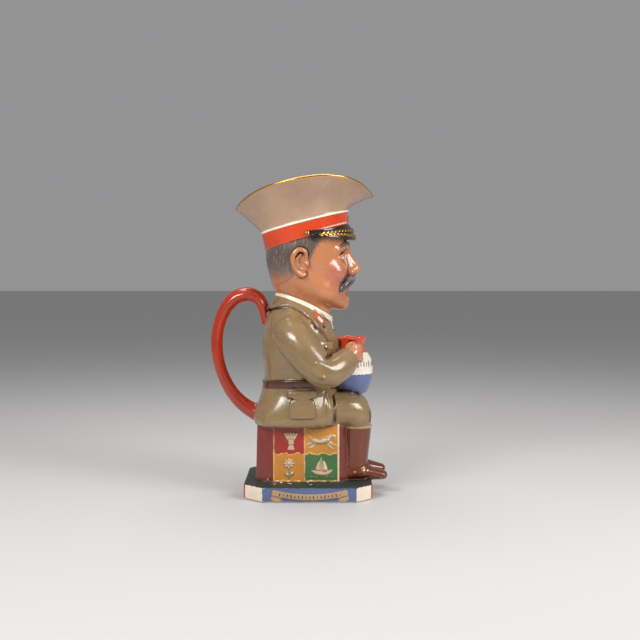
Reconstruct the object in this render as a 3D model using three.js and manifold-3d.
// A toby jug: a seated officer in tunic, breeches and riding boots, whose flared cap is the
// jug's mouth. It is slip-cast earthenware, hollow from the rim down into the seat, and one piece.
// Millimetres. +X is the way the figure faces, +Y is the figure's left and +Z is up.
// The origin is the middle of the plinth's underside, so the jug stands on the plane Z = 0.

import * as THREE from "three";
import { mergeVertices } from "three/addons/utils/BufferGeometryUtils.js";
import Module from "manifold-3d";

const wasm = await Module();
wasm.setup();
const { lerp, clamp, degToRad } = THREE.MathUtils;

// Driving sizes

const PLINTH = { length: 101, width: 96, height: 12, corner: 15.5, edge: 1.2 };
const SEAT = { back: -41, front: 37, half: 28, top: 56, corner: 13.5, draft: 1 };
const PANEL = { back: -26.5, front: 23.5, low: 14.5, high: 52, split: -2.8, middle: 34, proud: 0.8 };
const SCROLL = { half: 29, drop: 3.4, deep: 4.6, proud: 1.1, strokes: 7 };
const WALL = 4.2;
const SHORT_EDGE = 0.5;
const CAP_SIDES = 32;
const BODY_SIDES = 26;
const HOLLOW_SIDES = 20;
const RIM = { middle: -3.25, reach: 56, half: 52, base: 235.9, nod: 5.1, wall: 2.8 };
const FLARE = { back: 1.05, front: 1.7 };
const VISOR = { sweep: 82, spread: 7.6, edge: 204.4, steps: 12 };
const HANDLE = { thick: 5.4, wide: 5.8 };
const SMALL_JUG = { x: 34.6, foot: 80.5 };

// The side profile's levels. Each gives the back and front points (x, z) and the half width.

const SKIRT = [
  { back: [-40, 53], front: [20.5, 53], half: 34.5 },
  { back: [-42.8, 55.5], front: [22.5, 55], half: 37 },
  { back: [-43.6, 60], front: [23.5, 60], half: 38.2 },
  { back: [-42.6, 67.5], front: [24.2, 67], half: 37.8 },
  { back: [-39.8, 76], front: [24.2, 76], half: 35.8 },
  { back: [-36.6, 83.8], front: [23.2, 83.8], half: 33.2 },
];
const BELT = [
  { back: [-37.4, 84.4], front: [24.4, 84.4], half: 34 },
  { back: [-37.2, 89], front: [24.4, 89], half: 34 },
];
const TUNIC = [
  { back: [-36.2, 89.8], front: [23.2, 89.8], half: 32.8 },
  { back: [-36, 97], front: [23.5, 98], half: 33.2 },
  { back: [-37.6, 110], front: [23.4, 111], half: 35.4 },
  { back: [-37.4, 122], front: [22, 120], half: 36 },
  { back: [-36, 132], front: [20.8, 126], half: 34.6 },
  { back: [-33.6, 142], front: [19.6, 130], half: 30 },
  { back: [-30.4, 148.4], front: [18.4, 131.6], half: 24.4 },
];
const COLLAR = [
  { back: [-31.8, 149.6], front: [22.2, 131.8], half: 25.4 },
  { back: [-29.6, 156], front: [21.6, 137], half: 22.8 },
  { back: [-28, 161], front: [20.4, 142.6], half: 20.6 },
  { back: [-26.8, 161.4], front: [18, 145], half: 18.6 },
];
const HEAD = [
  { back: [-28, 166.5], front: [18.5, 148.4], half: 19.5, taper: 0.04 },
  { back: [-29.6, 171], front: [29, 149.4], half: 22, taper: 0.16 },
  { back: [-31.6, 177], front: [32.2, 156], half: 25, taper: 0.18 },
  { back: [-33.4, 184], front: [31.2, 168], half: 27.6, taper: 0.16 },
  { back: [-34.2, 190], front: [31.4, 180], half: 29.2, taper: 0.13 },
  { back: [-34.2, 197], front: [31.2, 192], half: 30, taper: 0.1 },
  { back: [-33.2, 204], front: [32, 202], half: 30, taper: 0.07 },
  { back: [-31, 212], front: [29, 215], half: 28.5, taper: 0.03 },
];
const BAND = [
  { back: [-35.3, 195.6], front: [31.8, 215.4], half: 32 },
  { back: [-38, 207.2], front: [32.2, 225.6], half: 33.4 },
  { back: [-38.9, 207.9], front: [33, 226.2], half: 34.2 },
  { back: [-38.9, 209.4], front: [33, 227.6], half: 34.2 },
  { back: [-38.4, 210.2], front: [32.4, 228.2], half: 33.8 },
];
const BAND_FOOT = BAND[0];
const CROWN_FOOT = BAND[BAND.length - 1];

// The hollow inside, a wall's thickness in from the levels above, down through the seat.

const HOLLOW = [
  { back: [-SEAT.half, 7], front: [SEAT.half, 7], half: SEAT.half - WALL - 2, power: 4 },
  { back: [-35.5, 12], front: [31.5, 12], half: SEAT.half - WALL, power: 4 },
  { back: [-35.5, 50], front: [31.5, 50], half: SEAT.half - WALL, power: 4 },
  { back: [-38, 60], front: [19, 60], half: 33, power: 2.4 },
  { back: [-33, 84], front: [18, 84], half: 28.5 },
  { back: [-33, 112], front: [18.6, 112], half: 30.5 },
  { back: [-31.5, 130], front: [15.5, 127], half: 29.5 },
  { back: [-27.5, 142], front: [13, 133.5], half: 21 },
  { back: [-23, 151], front: [10, 140], half: 14.6 },
  { back: [-22.4, 162], front: [10.5, 148], half: 13.6 },
  { back: [-26.5, 174], front: [19, 158], half: 18 },
  { back: [-29.8, 190], front: [25.5, 178], half: 23.8 },
  { back: [-30.4, 201], front: [27.4, 205], half: 26.6 },
  { back: [-32.4, 212], front: [27.6, 228], half: 28 },
];
const MOUTH_FOOT = { back: [-33.4, 208.4], front: [28.4, 225.4], half: 29 };

// Shape tools

// cos or sin drawn out towards a rounded square as power grows past 2
function squared(value, power) {
  return Math.sign(value) * Math.abs(value) ** (2 / power);
}

// The points of a level ring, counter-clockwise from the front.
function levelRing(level, sides) {
  const { back, front, half, power = 2.2, taper = 0 } = level;
  return Array.from({ length: sides }, (_, i) => {
    const angle = (2 * Math.PI * i) / sides;
    const ahead = squared(Math.cos(angle), power);
    const aside = squared(Math.sin(angle), power) * (1 - taper * ahead);
    const share = (ahead + 1) / 2;
    return new THREE.Vector3(lerp(back[0], front[0], share), half * aside, lerp(back[1], front[1], share));
  });
}

// A closed skin over a row of rings with equal numbers of points, its ends closed by fans.
function skin(rings) {
  const sides = rings[0].length;
  const middle = (ring) => ring.reduce((sum, p) => sum.add(p), new THREE.Vector3()).divideScalar(sides);
  const points = [...rings.flat(), middle(rings[0]), middle(rings.at(-1))];
  const last = (rings.length - 1) * sides;
  const faces = [];
  for (let j = 0; j < sides; j++) {
    const k = (j + 1) % sides;
    for (let row = 0; row < last; row += sides) {
      faces.push(row + j, row + k, row + sides + k, row + j, row + sides + k, row + sides + j);
    }
    faces.push(points.length - 2, k, j, points.length - 1, last + j, last + k);
  }
  const geometry = new THREE.BufferGeometry().setFromPoints(points);
  geometry.setIndex(faces);
  return geometry;
}

// A smooth value along a list of key values, where at runs from 0 to 1.
function along(values, at) {
  const curve = new THREE.CatmullRomCurve3(values.map((v) => new THREE.Vector3(v, 0, 0)));
  return curve.getPoint(at).x;
}

// A round-ended tube whose thickness changes along a smooth path; wide and tall stretch its section.
function limb(path, radii, options = {}) {
  const { sides = 8, steps = 4, ends = [50], across = [0, 1, 0], wide = 1, tall = 1, power = 2 } = options;
  const curve = new THREE.CatmullRomCurve3(path.map((p) => new THREE.Vector3(...p)));
  const stations = [];
  for (const deg of ends.toReversed()) stations.push([0, degToRad(-deg)]);
  for (let i = 0; i <= steps; i++) stations.push([i / steps, 0]);
  for (const deg of ends) stations.push([1, degToRad(deg)]);
  const rings = stations.map(([at, lean]) => {
    const ahead = curve.getTangent(at);
    const lie = new THREE.Vector3(...across);
    const aside = lie.clone().addScaledVector(ahead, -ahead.dot(lie)).normalize();
    const up = new THREE.Vector3().crossVectors(ahead, aside);
    const radius = along(radii, at);
    const reach = radius * Math.min(wide, tall) * Math.sin(lean);
    const centre = curve.getPoint(at).addScaledVector(ahead, reach);
    return Array.from({ length: sides }, (_, i) => {
      const angle = (2 * Math.PI * i) / sides;
      const out = radius * Math.cos(lean);
      return centre
        .clone()
        .addScaledVector(aside, wide * out * squared(Math.cos(angle), power))
        .addScaledVector(up, tall * out * squared(Math.sin(angle), power));
    });
  });
  return skin(rings);
}

// An egg: a sphere stretched to three radii, turned and put in its place.
function egg(centre, radii, { turn = [0, 0, 0], sides = 12, rows = 8 } = {}) {
  const geometry = new THREE.SphereGeometry(1, sides, rows);
  geometry.scale(...radii);
  geometry.applyMatrix4(new THREE.Matrix4().makeRotationFromEuler(new THREE.Euler(...turn)));
  return geometry.translate(...centre);
}

function block(low, high) {
  const size = high.map((value, i) => value - low[i]);
  const geometry = new THREE.BoxGeometry(...size);
  return geometry.translate(...low.map((value, i) => value + size[i] / 2));
}

// A rectangle with its corners cut off, from back to front and from side to side.
function eightSided(back, front, half, corner) {
  return [
    [front, half - corner],
    [front - corner, half],
    [back + corner, half],
    [back, half - corner],
    [back, corner - half],
    [back + corner, -half],
    [front - corner, -half],
    [front, corner - half],
  ];
}

// A geometry as a boolean solid, turned so that its faces point outwards.
function solid(geometry) {
  geometry.deleteAttribute("normal");
  geometry.deleteAttribute("uv");
  const merged = mergeVertices(geometry, 1e-4);
  const make = (triVerts) =>
    new wasm.Manifold(
      new wasm.Mesh({ numProp: 3, vertProperties: merged.attributes.position.array, triVerts }),
    );
  const made = make(new Uint32Array(merged.index.array));
  return made.volume() > 0 ? made : make(new Uint32Array(merged.index.array).reverse());
}

function union(geometries) {
  return geometries.map(solid).reduce((whole, piece) => whole.add(piece));
}

// The two sides of the figure: make is called with +1 for its left and -1 for its right.
function bothSides(make) {
  return [1, -1].flatMap(make);
}

// Plinth and seat

function plinth() {
  const { length, width, height, corner, edge } = PLINTH;
  const outline = eightSided(-length / 2, length / 2, width / 2, corner);
  const shape = new THREE.Shape(outline.map(([x, y]) => new THREE.Vector2(x, y)));
  const geometry = new THREE.ExtrudeGeometry(shape, {
    depth: height - edge,
    bevelSize: edge,
    bevelOffset: -edge,
    bevelThickness: edge,
    bevelSegments: 2,
  });
  const flatFoot = block([-length, -width, -2 * edge], [length, width, 0]);
  return solid(geometry).subtract(solid(flatFoot));
}

// The ribbon on a long side of the plinth: a shallow smile with a turned-back end at each side.
function scroll(side) {
  const { half, drop, deep, proud, strokes } = SCROLL;
  const face = (side * PLINTH.width) / 2;
  const sag = (share) => PLINTH.height / 2 + 1.6 - drop * (1 - share * share);
  const section = (share, grow) => {
    const z = sag(share);
    return [
      [deep / 2 + grow, -0.8],
      [deep / 2 + grow, proud],
      [-deep / 2 - grow, proud],
      [-deep / 2 - grow, -0.8],
    ].map(([up, out]) => new THREE.Vector3(half * share, face + side * out, z + up));
  };
  const steps = 6;
  const shares = Array.from({ length: steps + 1 }, (_, i) => (2 * i) / steps - 1);
  const ribbon = skin(shares.map((share) => section(share, 0)));
  const ends = [-1, 1].map((end) => {
    const x = half * end;
    return block(
      [Math.min(x, x - 5 * end), face - (side > 0 ? 0.8 : 0.6), 1.6],
      [Math.max(x, x - 5 * end), face + (side > 0 ? 0.6 : 0.8), 5.2],
    );
  });
  const rule = Array.from({ length: strokes }, (_, i) => {
    const share = (1.6 * i) / (strokes - 1) - 0.8;
    const x = half * share;
    const y = face + side * proud;
    const tall = i % 3 === 1 ? 0.7 : 1.2;
    return block([x - 0.5, y - 0.3, sag(share) - tall], [x + 0.5, y + 0.3, sag(share) + tall]);
  });
  return [ribbon, ...ends, ...rule];
}

function seat() {
  const { back, front, half, top, corner, draft } = SEAT;
  const ring = (z, grow) =>
    eightSided(back - grow, front + grow, half + grow, corner).map(([x, y]) => new THREE.Vector3(x, y, z));
  return skin([ring(PLINTH.height - 1, draft), ring(top, 0)]);
}

// The raised fillets that quarter a long side of the seat.
function fillets(side) {
  const { back, front, low, high, split, middle, proud } = PANEL;
  const face = side * (SEAT.half + 0.4);
  const bar = (x0, z0, x1, z1) =>
    limb([[x0, face, z0], [x1, face, z1]], [proud, proud], { sides: 4, steps: 1, ends: [] });
  return [
    bar(back, low, back, high),
    bar(front, low, front, high),
    bar(split, low, split, high),
    bar(back, middle, front, middle),
    bar(back, low, front, low),
  ];
}

// The relief in each quarter: a sheaf, a running hound, a flower and a boat.
function panelRelief(side) {
  const face = side * SEAT.half;
  const { back, front, low, high, split, middle } = PANEL;
  const stroke = (points, radii, steps = 2) =>
    limb(
      points.map(([x, z]) => [x, face, z]),
      radii,
      { sides: 4, steps, ends: [], wide: 1.3 },
    );
  const rear = (back + split) / 2;
  const fore = (front + split) / 2;
  const upper = (middle + high) / 2;
  const lower = (low + middle) / 2;
  const sheaf = [-1, 0, 1].map((k) => {
    const stalk = [[rear + 1.6 * k, upper - 7], [rear + 0.6 * k, upper - 1], [rear + 3.6 * k, upper + 6]];
    return stroke(stalk, [1.1, 0.9, 1.7]);
  });
  const hound = [
    stroke([[fore - 7, upper + 1.5], [fore, upper + 0.4], [fore + 9, upper + 3.4]], [2.1, 1.8, 1.8]),
    stroke([[fore + 5.5, upper], [fore + 11, upper - 3.6]], [1.2, 0.7], 1),
    stroke([[fore - 6.5, upper], [fore - 11, upper - 4]], [1.3, 0.7], 1),
    stroke([[fore - 7, upper + 2], [fore - 11, upper + 4.6]], [0.8, 0.5], 1),
  ];
  const flower = [
    egg([rear, face, lower + 4], [4.6, 1.6, 4.6], { sides: 8, rows: 4 }),
    stroke([[rear, lower - 8], [rear, lower]], [0.8, 0.8], 1),
    stroke([[rear, lower - 5], [rear - 4, lower - 2.4]], [0.6, 1.2], 1),
    stroke([[rear, lower - 5], [rear + 4, lower - 2.4]], [0.6, 1.2], 1),
  ];
  const boat = [
    stroke([[fore - 8, lower - 2.5], [fore, lower - 4.4], [fore + 8, lower - 2.5]], [0.8, 2, 0.8], 2),
    stroke([[fore, lower - 3], [fore, lower + 7.4]], [0.7, 0.6], 1),
    stroke([[fore + 2.2, lower + 4.6], [fore + 3.4, lower - 0.4]], [0.9, 2.1], 1),
  ];
  return [...sheaf, ...hound, ...flower, ...boat];
}

// Legs and boots

function leg(side) {
  const breeches = limb(
    [
      [4, side * 18, 66],
      [20, side * 17, 67],
      [35, side * 15.2, 66.6],
      [38.6, side * 14.2, 59],
      [38.2, side * 13.4, 50],
    ],
    [15.5, 14.6, 13.6, 12.8, 10],
    { sides: 12, steps: 8, ends: [] },
  );
  const boot = skin(
    [
      [16, 37, 9.6],
      [27, 36.4, 9.6],
      [38, 38, 10.4],
      [54, 38.6, 11.4],
      [54.4, 38.6, 12.4],
      [57.2, 38.6, 12.4],
      [57.8, 38.6, 11.2],
    ].map(([z, x, radius]) => {
      const level = { back: [x - radius, z], front: [x + radius, z], half: radius, power: 2 };
      return levelRing(level, 12).map((p) => p.setY(p.y + side * 13));
    }),
  );
  const foot = limb(
    [
      [35.4, side * 12.4, 18],
      [46, side * 13, 18.6],
      [55, side * 14.4, 16.2],
    ],
    [9.4, 8.8, 6.6],
    { sides: 10, steps: 4 },
  );
  return [breeches, boot, foot];
}

// Tunic

function stack(levels, sides) {
  return skin(levels.map((level) => levelRing(level, sides)));
}

function pocket(side) {
  const bag = egg([-8, side * 34.6, 70.5], [15, 5, 9], { sides: 10, rows: 5 });
  const flap = limb(
    [
      [-22, side * 36.2, 79],
      [-8, side * 37, 78.6],
      [6, side * 35.6, 79],
    ],
    [2.2, 2.4, 2.2],
    { sides: 6, steps: 3, ends: [] },
  );
  return [bag, flap];
}

function lapel(side) {
  const facing = limb(
    [
      [19, side * 15, 139],
      [23.4, side * 11, 127],
      [24.4, side * 4, 113],
    ],
    [3, 5, 2.4],
    { sides: 6, steps: 4, ends: [], across: [0, 1, 0.35], tall: 0.4 },
  );
  const patch = limb(
    [
      [8, side * 22.6, 139.8],
      [18.4, side * 16.2, 132.2],
    ],
    [2.6, 2.6],
    { sides: 6, steps: 1, ends: [], across: [-0.45, 0.3, 1], tall: 0.6 },
  );
  return [facing, patch];
}

function buttons() {
  return [124, 114, 104, 95].map((z) => egg([24, 0, z], [1.4, 1.9, 1.9], { sides: 6, rows: 4 }));
}

// Arms, hands and the small jug that they hold

function arm(side) {
  const sleeve = limb(
    [
      [-16, side * 27, 134],
      [-8, side * 37, 122],
      [11, side * 42.4, 101],
      [24, side * 36.4, 104],
      [33, side * 27, 110.4],
    ],
    [13, 14, 12.8, 11.4, 9.6],
    { sides: 12, steps: 8, ends: [40, 75], across: [0.3, 1, 0.3] },
  );
  const palmTurn = [0, -0.6, side * -0.3];
  const palm = egg([34.6, side * 22.2, 113.6], [8.4, 6, 8], { turn: palmTurn, sides: 8, rows: 5 });
  const fingers = [0, 1, 2, 3].map((i) =>
    limb(
      [
        [37 + 0.5 * i, side * 25, 119 - 3.5 * i],
        [41.4 + 0.3 * i, side * 22.6, 118.4 - 3.5 * i],
        [42.6 + 0.3 * i, side * 17, 117.6 - 3.5 * i],
      ],
      [2.4, 2.3, 1.9],
      { sides: 6, steps: 2, across: [0, 0, 1] },
    ),
  );
  const thumb = limb(
    [
      [31, side * 20, 118],
      [33.6, side * 15, 121.4],
      [36, side * 11, 122],
    ],
    [3, 2.6, 2],
    { sides: 6, steps: 2, across: [0, 0, 1] },
  );
  return [sleeve, palm, ...fingers, thumb];
}

function smallJug() {
  const outline = [
    [0, 0],
    [11.6, 0],
    [13.6, 1.4],
    [17.4, 11],
    [18.4, 20.5],
    [16.8, 28.5],
    [12.6, 34.4],
    [11, 38],
    [11.4, 41.5],
    [13.2, 44.6],
    [12, 45],
    [9.6, 41],
    [8.8, 38],
    [0, 37.4],
  ];
  const profile = outline.map(([radius, rise]) => new THREE.Vector2(radius, rise));
  const pot = new THREE.LatheGeometry(profile, 16);
  pot.rotateX(Math.PI / 2);
  return pot.translate(SMALL_JUG.x, 0, SMALL_JUG.foot);
}

// Head

function face() {
  const nose = limb([[31, 0, 194], [35.4, 0, 186], [38, 0, 178]], [2.4, 3, 4.2], { sides: 6, steps: 3 });
  const pairs = bothSides((side) => [
    egg([34.6, side * 3.8, 177], [3, 2.4, 2.6], { sides: 6, rows: 4 }),
    egg([28.8, side * 11, 191], [3.2, 4.6, 2.8], { sides: 6, rows: 4 }),
    limb([[32.4, side * 5, 197], [31, side * 12, 198.4], [25, side * 18, 196]], [1.8, 2, 1.2], {
      sides: 5,
      steps: 2,
      ends: [],
    }),
    limb([[36, side * 0.6, 172.4], [33.4, side * 8, 171], [27.6, side * 14.6, 167]], [3, 2.8, 0.8], {
      sides: 6,
      steps: 3,
      ends: [],
    }),
  ]);
  const lipLine = [[29, -7, 164.6], [33.6, 0, 164], [29, 7, 164.6]];
  const lip = limb(lipLine, [0.8, 2, 0.8], { sides: 5, steps: 4, ends: [] });
  const tuft = egg([31.4, 0, 153.6], [2.8, 4.2, 5], { sides: 8, rows: 5 });
  return [nose, ...pairs, lip, tuft];
}

function ear(side) {
  const helix = limb(
    [
      [-2.4, side * 30.6, 191],
      [-3.4, side * 33, 197.6],
      [-9.6, side * 34.4, 198.6],
      [-12.6, side * 34, 190],
      [-9.4, side * 32, 180.6],
      [-3.4, side * 29.4, 176],
    ],
    [1.8, 2, 2.2, 2.2, 2.2, 2.6],
    { sides: 5, steps: 8, ends: [] },
  );
  const bowl = egg([-6.4, side * 29.4, 187], [6, 3, 9], { sides: 7, rows: 4 });
  return [helix, bowl];
}

// Cap: band, visor and the flared crown that is the jug's mouth

// A point of the rim: it dips at the front, where the jug pours, and at the back.
function rimPoint(angle, inset, lift) {
  const { middle, reach, half, base, nod } = RIM;
  const ahead = Math.cos(angle);
  const aside = Math.sin(angle);
  const arch = aside ** 2 * (16 + 3.5 * ahead + 9.5 * ahead ** 2);
  return new THREE.Vector3(
    middle + (reach - inset) * ahead,
    (half - inset) * aside,
    base + nod * ahead + arch + lift,
  );
}

// A ring of the crown, at a share of the way from its foot to the rim.
function crownRing(foot, share, inset, sides) {
  return levelRing(foot, sides).map((low, i) => {
    const angle = (2 * Math.PI * i) / sides;
    const rim = rimPoint(angle, inset, 0);
    const power = lerp(FLARE.back, FLARE.front, (1 + Math.cos(angle)) / 2);
    const out = share ** power;
    return new THREE.Vector3(lerp(low.x, rim.x, out), lerp(low.y, rim.y, out), lerp(low.z, rim.z, share));
  });
}

function crown() {
  const shares = [0, 0.3, 0.6, 0.85, 1];
  return skin([
    levelRing(BAND_FOOT, CAP_SIDES),
    ...BAND.slice(1, -1).map((level) => levelRing(level, CAP_SIDES)),
    ...shares.map((share) => crownRing(CROWN_FOOT, share, 0, CAP_SIDES)),
  ]);
}

function visor() {
  const sweep = degToRad(VISOR.sweep);
  const middle = (BAND_FOOT.back[0] + BAND_FOOT.front[0]) / 2;
  const reach = BAND_FOOT.front[0] - middle;
  const rise = (BAND_FOOT.front[1] - BAND_FOOT.back[1]) / 2;
  const rings = Array.from({ length: VISOR.steps + 1 }, (_, i) => {
    const angle = lerp(-sweep, sweep, i / VISOR.steps);
    const ahead = Math.cos(angle);
    const rootZ = BAND_FOOT.back[1] + rise * (1 + ahead);
    const spread = VISOR.spread * clamp(ahead, 0, 1) ** 0.8;
    const edgeZ = lerp(rootZ - 3, VISOR.edge, ahead ** 0.6);
    const at = (out, z) =>
      new THREE.Vector3(middle + (reach + out) * ahead, (BAND_FOOT.half + out) * Math.sin(angle), z);
    return [
      at(-4, rootZ + 1),
      at(0.6, rootZ + 1.6),
      at(spread * 0.6 + 0.4, lerp(rootZ + 1, edgeZ, 0.5) + 0.6),
      at(spread, edgeZ),
      at(spread - 1.6, edgeZ - 0.4),
      at(-4, rootZ - 4),
    ];
  });
  return skin(rings);
}

// The spray of leaves on the visor, each leaf leaning back from the middle.
function visorLeaves(side) {
  return [0, 1, 2, 3].map((i) => {
    const angle = side * degToRad(8 + 14 * i);
    const spread = 4.8 * Math.cos(angle);
    const x = -1.7 + (33.6 + spread) * Math.cos(angle);
    const y = (32 + spread) * Math.sin(angle);
    const z = lerp(206, 209.6, Math.cos(angle)) + 0.4;
    return egg([x, y, z], [1.3, 3.6, 2], { turn: [side * 0.4, -0.6, angle], sides: 5, rows: 3 });
  });
}

function capTrim() {
  const badge = egg([33, 0, 220.7], [1.6, 4.4, 4.6], { sides: 8, rows: 4 });
  const buttonsOnBand = bothSides((side) => [
    egg([-0.8, side * 32.4, 208.6], [2.1, 1.8, 2.1], { sides: 6, rows: 4 }),
  ]);
  return [badge, ...buttonsOnBand];
}

// Handle: a loop with a ridged section from the skirt to the collar, its tip laid down the back

function handle() {
  const path = [
    [-39, 61.5],
    [-50, 67.6],
    [-59.4, 76],
    [-67, 87.5],
    [-72.2, 101],
    [-74.6, 116],
    [-73.6, 131],
    [-69, 145.5],
    [-60.5, 156],
    [-50, 159.6],
    [-41.4, 156.2],
    [-36.6, 148.4],
    [-35.4, 140],
  ].map(([x, z]) => [x, 0, z]);
  const swell = [1.3, 1.12, 1, 0.9, 0.86, 0.86, 0.9, 1, 1.12, 1.14, 1.05, 0.9, 0.6];
  const radii = swell.map((share) => share * HANDLE.thick);
  return limb(path, radii, {
    sides: 8,
    steps: 24,
    wide: HANDLE.wide / HANDLE.thick,
    power: 1.7,
  });
}

// The hollow, with the mouth flaring up past the rim

function hollow() {
  const mouthRings = [0, 0.3, 0.6, 0.85].map((share) => crownRing(MOUTH_FOOT, share, RIM.wall, CAP_SIDES));
  const over = (lift) =>
    Array.from({ length: CAP_SIDES }, (_, i) => rimPoint((2 * Math.PI * i) / CAP_SIDES, RIM.wall, lift));
  return union([stack(HOLLOW, HOLLOW_SIDES), skin([...mouthRings, over(-0.4), over(30)])]);
}

// The whole jug

const underPlinthTop = block([PLINTH.length / 2 - 4, -40, 0], [90, 40, PLINTH.height - 0.01]);
const legs = union(bothSides(leg)).subtract(solid(underPlinthTop));
const figure = union([
  seat(),
  stack([...SKIRT, ...BELT, ...TUNIC, ...COLLAR, ...HEAD], BODY_SIDES),
  crown(),
  visor(),
  handle(),
  smallJug(),
  ...buttons(),
  ...face(),
  ...capTrim(),
  ...bothSides((side) => [
    ...scroll(side),
    ...fillets(side),
    ...panelRelief(side),
    ...pocket(side),
    ...lapel(side),
    ...arm(side),
    ...ear(side),
    ...visorLeaves(side),
  ]),
]);
const jug = figure.add(plinth()).add(legs).subtract(hollow());

// Takes out the short edges that joining leaves along a seam: the far end of each moves onto the near
// end, where that turns no face over and keeps the skin closed.
function withoutShortEdges(points, faces) {
  const around = points.map(() => new Set());
  const fans = points.map(() => []);
  for (const face of faces) {
    face.forEach((p, i) => {
      around[p].add(face[(i + 1) % 3]).add(face[(i + 2) % 3]);
      fans[p].push(face);
    });
  }
  const normal = (corners) => new THREE.Triangle(...corners).getNormal(new THREE.Vector3());
  const turnsOver = (from, to) =>
    fans[from].some((face) => {
      if (face.includes(to)) return false;
      const moved = face.map((p) => points[p === from ? to : p]);
      return normal(face.map((p) => points[p])).dot(normal(moved)) < 0.3;
    });
  const movedTo = points.map((_, p) => p);
  const settled = new Set();
  for (const [from, others] of around.entries()) {
    for (const to of others) {
      const short = points[from].distanceTo(points[to]) < SHORT_EDGE;
      if (!short || settled.has(from) || settled.has(to)) continue;
      const shared = [...others].filter((p) => around[to].has(p));
      if (shared.length !== 2 || turnsOver(from, to)) continue;
      movedTo[from] = to;
      for (const p of [from, to, ...others, ...around[to]]) settled.add(p);
    }
  }
  const kept = faces.map((face) => face.map((p) => movedTo[p])).filter((face) => new Set(face).size === 3);
  return kept.length < faces.length ? withoutShortEdges(points, kept) : kept;
}

function geometryOf(manifold) {
  const { vertProperties, triVerts, numProp, numTri } = manifold.getMesh();
  const geometry = new THREE.BufferGeometry();
  geometry.setAttribute("position", new THREE.BufferAttribute(vertProperties, numProp));
  const places = geometry.attributes.position;
  const pointAt = (_, i) => new THREE.Vector3().fromBufferAttribute(places, i);
  const points = Array.from({ length: places.count }, pointAt);
  const faces = Array.from({ length: numTri }, (_, i) => [...triVerts.slice(3 * i, 3 * i + 3)]);
  geometry.setIndex(withoutShortEdges(points, faces).flat());
  geometry.computeVertexNormals();
  return geometry;
}

const glaze = new THREE.MeshStandardMaterial({ color: 0x8a6d45, roughness: 0.18, metalness: 0 });
const jugMesh = new THREE.Mesh(geometryOf(jug), glaze);
jugMesh.name = "toby_jug";

const tobyJug = new THREE.Group();
tobyJug.name = "toby_jug_group";
tobyJug.add(jugMesh);

export default tobyJug;
